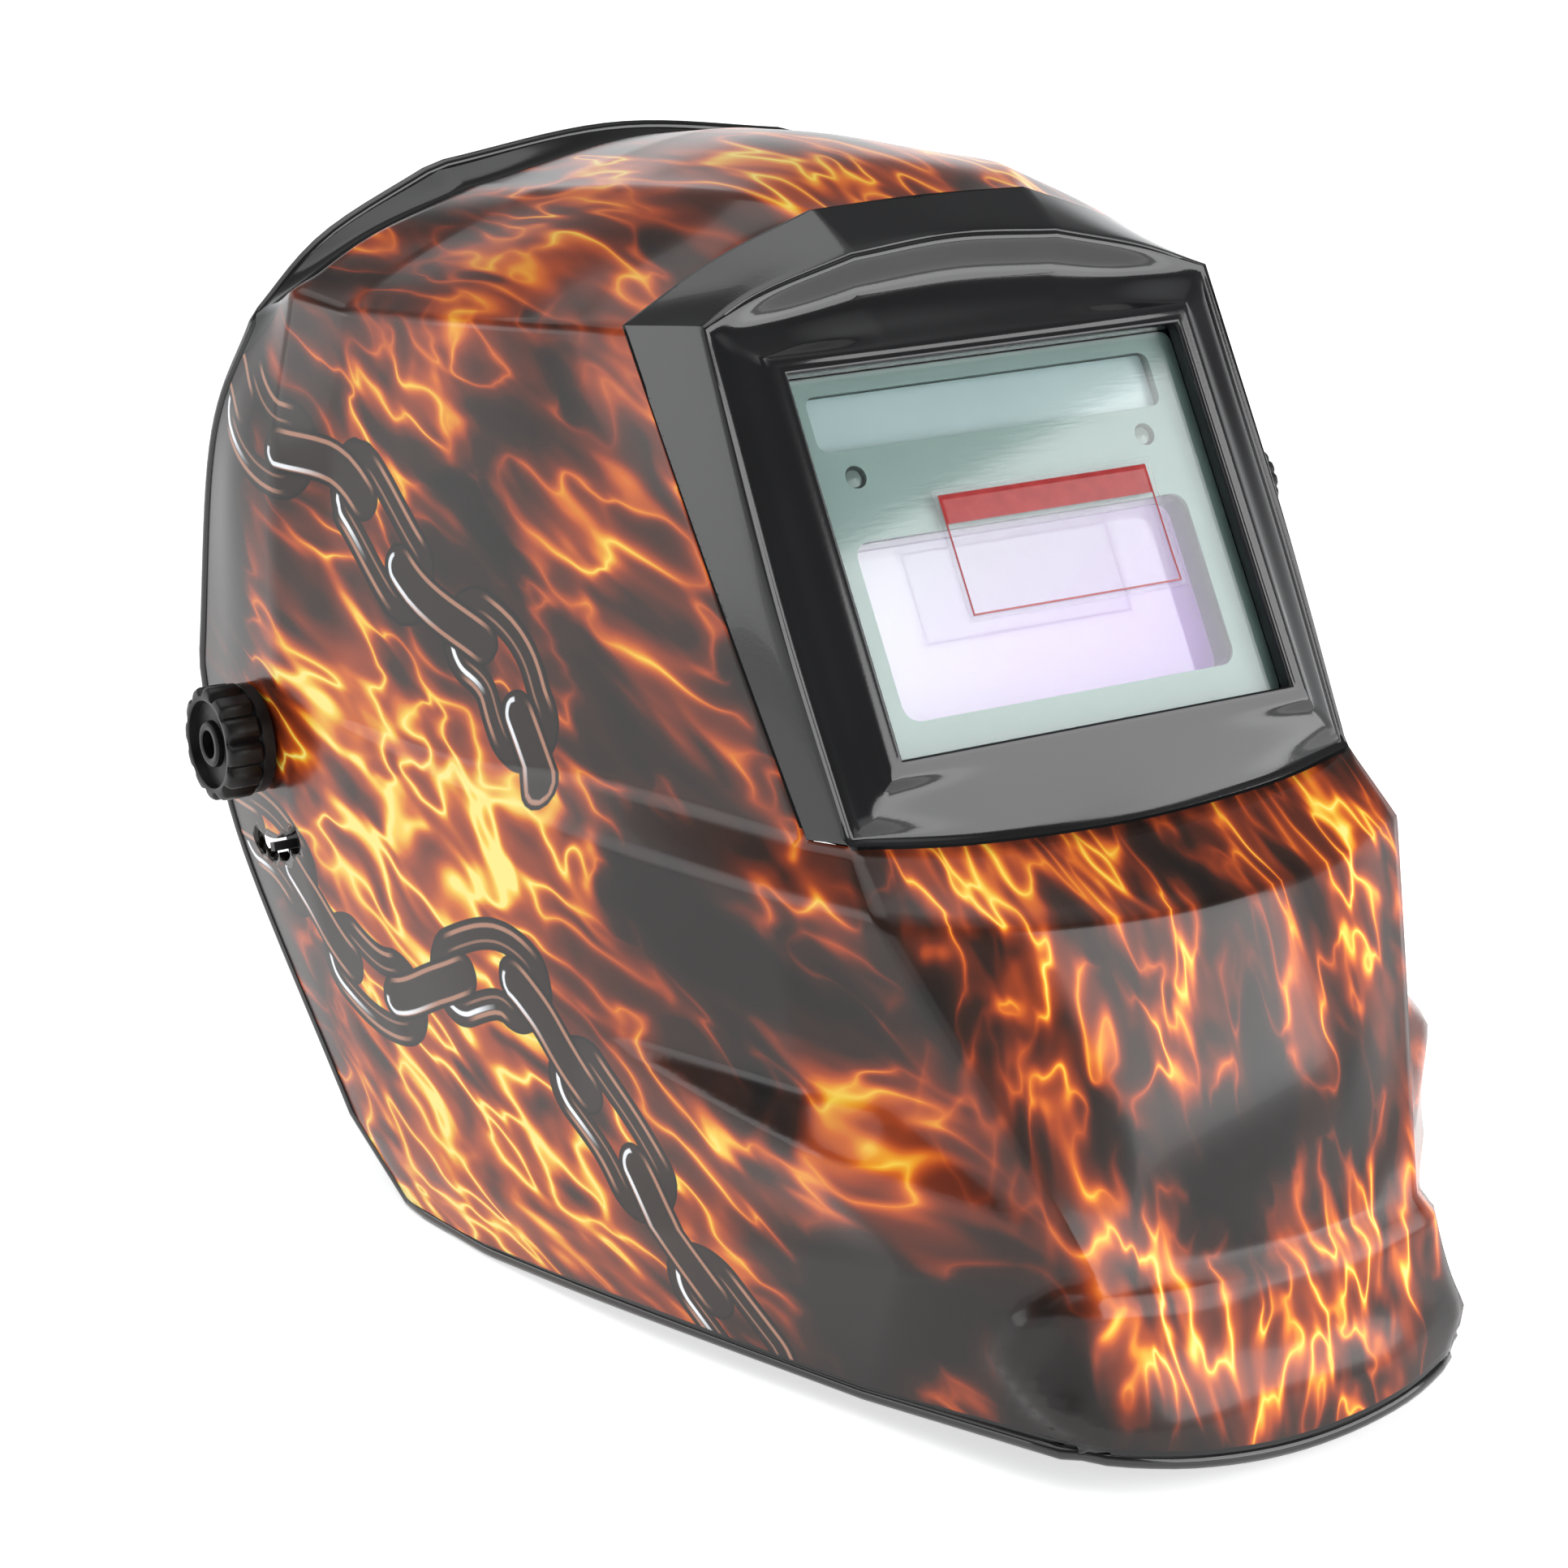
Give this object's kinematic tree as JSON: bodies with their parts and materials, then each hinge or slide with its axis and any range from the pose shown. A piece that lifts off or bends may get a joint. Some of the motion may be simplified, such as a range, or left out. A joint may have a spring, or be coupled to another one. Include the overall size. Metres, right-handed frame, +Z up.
{
  "type": "welding helmet",
  "caption": "Full-face welding helmet with a leaning filter window, printed gloss shell, outside shade knob, tension pivots and adjustable ratchet headgear",
  "frame": {"origin": "centre of the bounding box's base, on the surface that the bottom rim stands on", "axes": "+Z up, -Y the way the wearer looks, +X the wearer's left; X = 0 is the plane of symmetry of the shell"},
  "size_m": [0.253, 0.406, 0.2595],
  "materials": {
    "shell_print": "printed film under a gloss coat",
    "gloss_black": "high gloss",
    "satin_black": "satin",
    "strap_black": "satin",
    "clear_lens": "clear polycarbonate",
    "filter_green": "fine matt",
    "lcd_glass": "coated mirror filter",
    "solar": "coated",
    "sensor_glass": "dark lens",
    "board": "solder mask",
    "steel": "plated",
    "washer_rubber": "matt",
    "cable_rubber": "matt",
    "foam": "soft foam",
    "red_button": "satin"
  },
  "bodies": {
    "shell_body": {"shell": "shell_print", "visor_frame": "gloss_black", "front_cover_lens": "clear_lens", "filter_housing": "filter_green", "filter_back_cover": "satin_black", "filter_glass": "lcd_glass", "solar_cell": "solar", "arc_sensor_left": "sensor_glass", "arc_sensor_right": "sensor_glass", "control_board": "board", "battery": "steel", "inner_cover_lens": "clear_lens", "filter_holder": "satin_black", "retainer_pin": "steel", "shade_potentiometer": "steel", "shade_cable": "cable_rubber"},
    "left_tension_knob": {"tension_knob_left": "satin_black"},
    "right_tension_knob": {"tension_knob_right": "satin_black"},
    "shade_knob": {"shade_knob": "satin_black"},
    "sensitivity_knob": {"sensitivity_knob": "satin_black"},
    "delay_knob": {"delay_knob": "satin_black"},
    "test_button": {"test_button": "red_button"},
    "retainer": {"filter_retainer": "satin_black"},
    "stop_arm": {"tilt_stop_arm": "strap_black"},
    "brackets": {"pivot_bracket_left": "strap_black", "pivot_bracket_right": "strap_black", "pivot_bolt_left": "steel", "pivot_bolt_right": "steel", "friction_washer_left": "washer_rubber", "friction_washer_right": "washer_rubber"},
    "headband": {"headband_front": "strap_black", "sweatband": "foam", "ratchet_housing": "satin_black", "rear_pad": "foam", "crown_strap_left": "strap_black", "crown_strap_right": "strap_black", "crown_stud": "satin_black", "slide_stud_left": "satin_black", "slide_stud_right": "satin_black"},
    "ratchet": {"ratchet_knob": "satin_black", "ratchet_pinion": "satin_black"},
    "left_rear_strap": {"rear_strap_left": "strap_black"},
    "right_rear_strap": {"rear_strap_right": "strap_black"}
  },
  "joints": [
    {"name": "headgear_tilt", "type": "hinge", "parent": "shell_body", "child": "brackets", "pos_m": [0, 0.07604, 0.109], "axis": [1, 0, 0], "range_deg": [0, 80]},
    {"name": "headband_slide", "type": "slide", "parent": "brackets", "child": "headband", "axis": [0, 0.9659, -0.2588], "range_m": [-0.006, 0.006]},
    {"name": "ratchet_turn", "type": "hinge", "parent": "headband", "child": "ratchet", "pos_m": [0, 0.10326, 0.14105], "axis": [0, 0.9659, -0.2588], "range_deg": [-90, 180]},
    {"name": "left_strap_wrap", "type": "hinge", "parent": "headband", "child": "left_rear_strap", "pos_m": [0, 0.10326, 0.14105], "axis": [0, 0.2588, 0.9659], "range_deg": [-7, 14]},
    {"name": "right_strap_wrap", "type": "hinge", "parent": "headband", "child": "right_rear_strap", "pos_m": [0, 0.10326, 0.14105], "axis": [0, 0.2588, 0.9659], "range_deg": [-14, 7]},
    {"name": "left_tension_turn", "type": "hinge", "parent": "shell_body", "child": "left_tension_knob", "pos_m": [0.113, 0.07604, 0.109], "axis": [1, 0, 0], "range_deg": [0, 540]},
    {"name": "right_tension_turn", "type": "hinge", "parent": "shell_body", "child": "right_tension_knob", "pos_m": [-0.113, 0.07604, 0.109], "axis": [-1, 0, 0], "range_deg": [0, 540]},
    {"name": "stop_arm_swing", "type": "hinge", "parent": "shell_body", "child": "stop_arm", "pos_m": [-0.1059, 0.07604, 0.109], "axis": [1, 0, 0], "range_deg": [-21.75, 21.75]},
    {"name": "shade_turn", "type": "hinge", "parent": "shell_body", "child": "shade_knob", "pos_m": [0.0825, -0.05896, 0.175], "axis": [1, 0, 0], "range_deg": [0, 270]},
    {"name": "sensitivity_turn", "type": "hinge", "parent": "shell_body", "child": "sensitivity_knob", "pos_m": [-0.032, -0.07484, 0.19811], "axis": [0, 0.8504, -0.5262], "range_deg": [-135, 135]},
    {"name": "delay_turn", "type": "hinge", "parent": "shell_body", "child": "delay_knob", "pos_m": [0.032, -0.07484, 0.19811], "axis": [0, 0.8504, -0.5262], "range_deg": [-135, 135]},
    {"name": "test_press", "type": "slide", "parent": "shell_body", "child": "test_button", "axis": [0, -0.8504, 0.5262], "range_m": [0, 0.001], "stiffness_N_per_m": 300},
    {"name": "retainer_swing", "type": "hinge", "parent": "shell_body", "child": "retainer", "pos_m": [0, -0.11323, 0.13037], "axis": [-1, 0, 0], "range_deg": [0, 75]}
  ],
  "couplings": [
    {"joint": "left_strap_wrap", "follows": "ratchet_turn", "ratio": 0.0727},
    {"joint": "right_strap_wrap", "follows": "ratchet_turn", "ratio": -0.0727}
  ]
}
